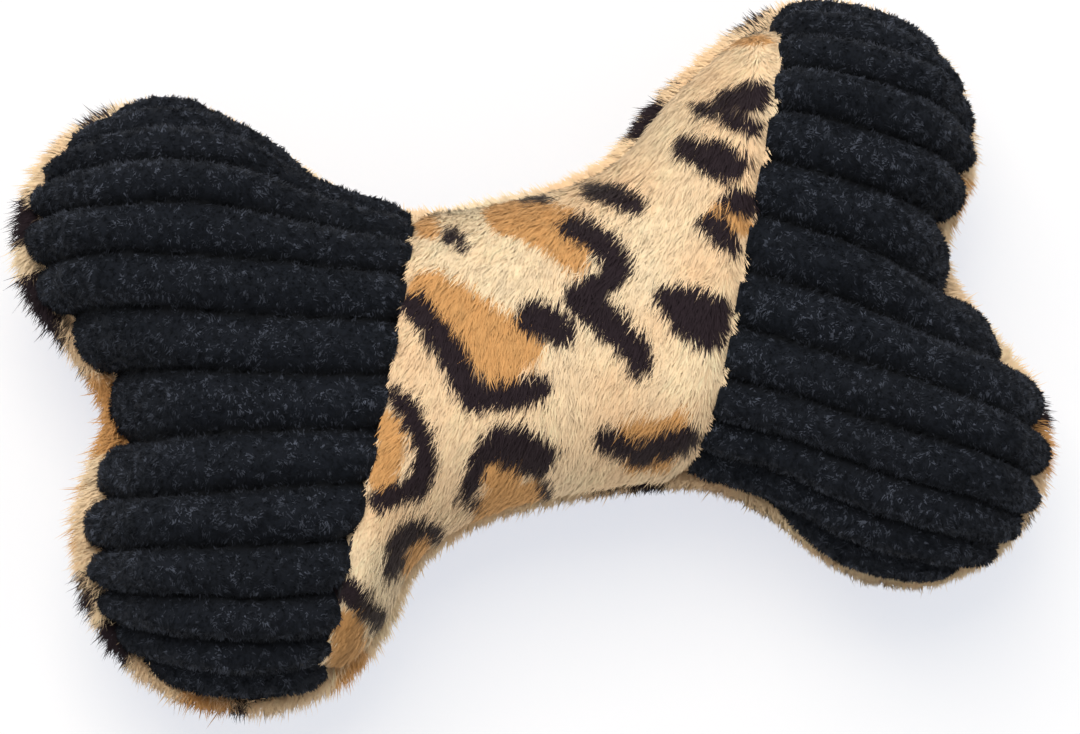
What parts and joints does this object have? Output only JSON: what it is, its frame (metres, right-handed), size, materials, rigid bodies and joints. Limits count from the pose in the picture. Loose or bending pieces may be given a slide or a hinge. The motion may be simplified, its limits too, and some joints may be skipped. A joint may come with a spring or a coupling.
{
  "type": "squeaky plush dog toy",
  "caption": "Stuffed bone-shaped dog toy with corduroy ends, a leopard-print waist and back, and a squeaker that sounds when the toy is squeezed.",
  "frame": {"origin": "middle of the toy's outline on the surface that it lies on", "axes": "+X along the bone to the right end as seen from the front, +Y across it to the upper lobes, +Z out of the front panels, with the toy lying on its back"},
  "size_m": [0.182, 0.1156, 0.0566],
  "materials": {
    "black_corduroy": "wide-wale plush corduroy with a dull nap",
    "print_plush": "short leopard-print plush pile",
    "sewing_thread": "matt polyester thread",
    "fibre_fill": "loose polyester fibre",
    "squeaker_plastic": "soft moulded plastic",
    "reed_film": "thin stiff film"
  },
  "bodies": {
    "toy": {"front_left_panel": "black_corduroy", "front_right_panel": "black_corduroy", "front_centre_panel": "print_plush", "back_panel": "print_plush", "left_join_stitch": "sewing_thread", "right_join_stitch": "sewing_thread", "edge_stitch": "sewing_thread", "closing_stitch": "sewing_thread", "fill_upper_left": "fibre_fill", "fill_lower_left": "fibre_fill", "fill_upper_right": "fibre_fill", "fill_lower_right": "fibre_fill", "fill_middle_front": "fibre_fill", "fill_middle_back": "fibre_fill", "squeaker_base": "squeaker_plastic", "reed_holder": "squeaker_plastic", "reed_clip": "squeaker_plastic"},
    "squeaker_top": {"squeaker_dome": "squeaker_plastic"},
    "reed": {"reed_tongue": "reed_film"}
  },
  "joints": [
    {"name": "squeeze", "type": "slide", "parent": "toy", "child": "squeaker_top", "axis": [0, 0, -1], "range_m": [0, 0.008], "stiffness_N_per_m": 400},
    {"name": "reed_flutter", "type": "hinge", "parent": "toy", "child": "reed", "pos_m": [0, 0, 0.0155], "axis": [1, 0, 0], "range_deg": [-5, 5], "stiffness_Nm_per_rad": 0.0001}
  ]
}
